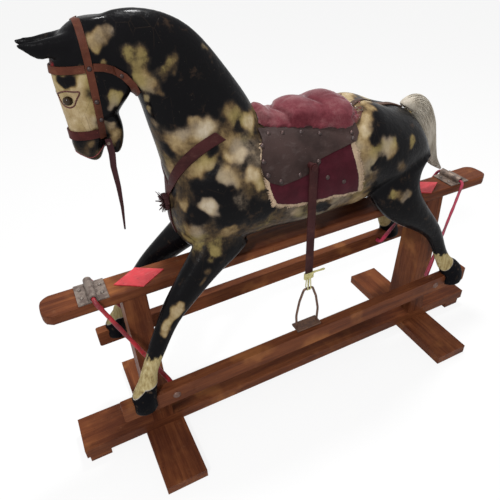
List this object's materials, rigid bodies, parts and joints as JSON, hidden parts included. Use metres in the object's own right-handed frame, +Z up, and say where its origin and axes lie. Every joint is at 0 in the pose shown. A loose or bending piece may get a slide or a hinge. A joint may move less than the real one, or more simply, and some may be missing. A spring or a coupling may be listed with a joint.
{
  "type": "rocking horse",
  "caption": "Painted wooden rocking horse with saddle and bridle, hung on swing irons from a low safety stand so that it glides to and fro.",
  "frame": {"origin": "on the floor, midway along and across the bottom rail", "axes": "+Z up, the head towards -X, the horse's near (left) side towards -Y"},
  "size_m": [1.3, 0.45, 1.0486],
  "materials": {
    "stand_wood": "stained mahogany colour, worn varnish",
    "red_paint": "flat red enamel",
    "bracket_metal": "aged grey-bronze",
    "screw_metal": "dull steel",
    "iron_paint": "old maroon paint",
    "iron_nut": "painted over",
    "dapple_paint": "black dapples over cream paint, worn gloss",
    "eye_glass": "glossy dark bead",
    "steel": "aged steel",
    "bridle_leather": "worn red-brown leather",
    "nail_metal": "tarnished domed nails",
    "dark_leather": "nearly black leather",
    "strap_leather": "dark red-brown leather",
    "saddle_leather": "dark brown leather, scuffed",
    "red_velvet": "faded red velvet",
    "burgundy_cloth": "burgundy felt with a frayed pale edge",
    "hair": "cream horsehair",
    "string": "pale yellow string"
  },
  "bodies": {
    "stand": {"bottom_rail": "stand_wood", "bracket_screws": "screw_metal", "end_foot_blocks": "stand_wood", "front_bearing_bracket": "bracket_metal", "front_cross_foot": "stand_wood", "front_post": "stand_wood", "front_rail_diamond": "red_paint", "rear_bearing_bracket": "bracket_metal", "rear_cross_foot": "stand_wood", "rear_post": "stand_wood", "rear_rail_diamond": "red_paint", "stand_screws": "screw_metal", "top_rail": "stand_wood"},
    "front_iron": {"front_swing_iron": "iron_paint", "front_iron_nuts": "iron_nut"},
    "rear_iron": {"rear_swing_iron": "iron_paint"},
    "stirrup_strap": {"left_stirrup_strap": "dark_leather", "left_stirrup_tie": "string"},
    "stirrup": {"left_stirrup_iron": "steel"},
    "horse": {"bit": "steel", "body_lower_block": "dapple_paint", "body_upper_block": "dapple_paint", "breast_strap": "strap_leather", "bridle_studs": "nail_metal", "browband": "bridle_leather", "chest_rosette": "dark_leather", "crupper_strap": "strap_leather", "eyes": "eye_glass", "head": "dapple_paint", "headstall": "bridle_leather", "left_front_leg": "dapple_paint", "left_hoof_rail": "stand_wood", "left_rear_leg": "dapple_paint", "left_saddle_cloth": "burgundy_cloth", "left_saddle_flap": "saddle_leather", "left_stirrup_hanger": "steel", "martingale_strap": "strap_leather", "neck": "dapple_paint", "noseband": "bridle_leather", "rear_iron_nuts": "iron_nut", "rein_strip": "dark_leather", "right_front_leg": "dapple_paint", "right_hoof_rail": "stand_wood", "right_rear_leg": "dapple_paint", "right_saddle_cloth": "burgundy_cloth", "right_saddle_flap": "saddle_leather", "right_stirrup_hanger": "steel", "saddle_base": "saddle_leather", "saddle_nails": "nail_metal", "saddle_seat": "red_velvet", "saddle_tree": "saddle_leather", "tail": "hair", "tail_plug": "dapple_paint", "throat_latch": "bridle_leather"}
  },
  "joints": [
    {"name": "front_iron_swing", "type": "hinge", "parent": "stand", "child": "front_iron", "pos_m": [-0.521, 0, 0.51405], "axis": [0, 1, 0], "range_deg": [-12, 12]},
    {"name": "rear_iron_swing", "type": "hinge", "parent": "stand", "child": "rear_iron", "pos_m": [0.521, 0, 0.51405], "axis": [0, 1, 0], "range_deg": [-12.8, 12.8]},
    {"name": "horse_swing", "type": "hinge", "parent": "front_iron", "child": "horse", "pos_m": [-0.40794, 0, 0.25026], "axis": [0, 1, 0], "range_deg": [-16, 16]},
    {"name": "stirrup_strap_swing", "type": "hinge", "parent": "horse", "child": "stirrup_strap", "pos_m": [-0.03894, -0.123, 0.73496], "axis": [0, 1, 0], "range_deg": [-25, 25]},
    {"name": "stirrup_tilt", "type": "hinge", "parent": "stirrup_strap", "child": "stirrup", "pos_m": [-0.03894, -0.123, 0.40996], "axis": [1, 0, 0], "range_deg": [-30, 30]}
  ],
  "couplings": [
    {"joint": "horse_swing", "follows": "front_iron_swing", "ratio": -1.315},
    {"joint": "rear_iron_swing", "follows": "front_iron_swing", "ratio": 1.055}
  ]
}
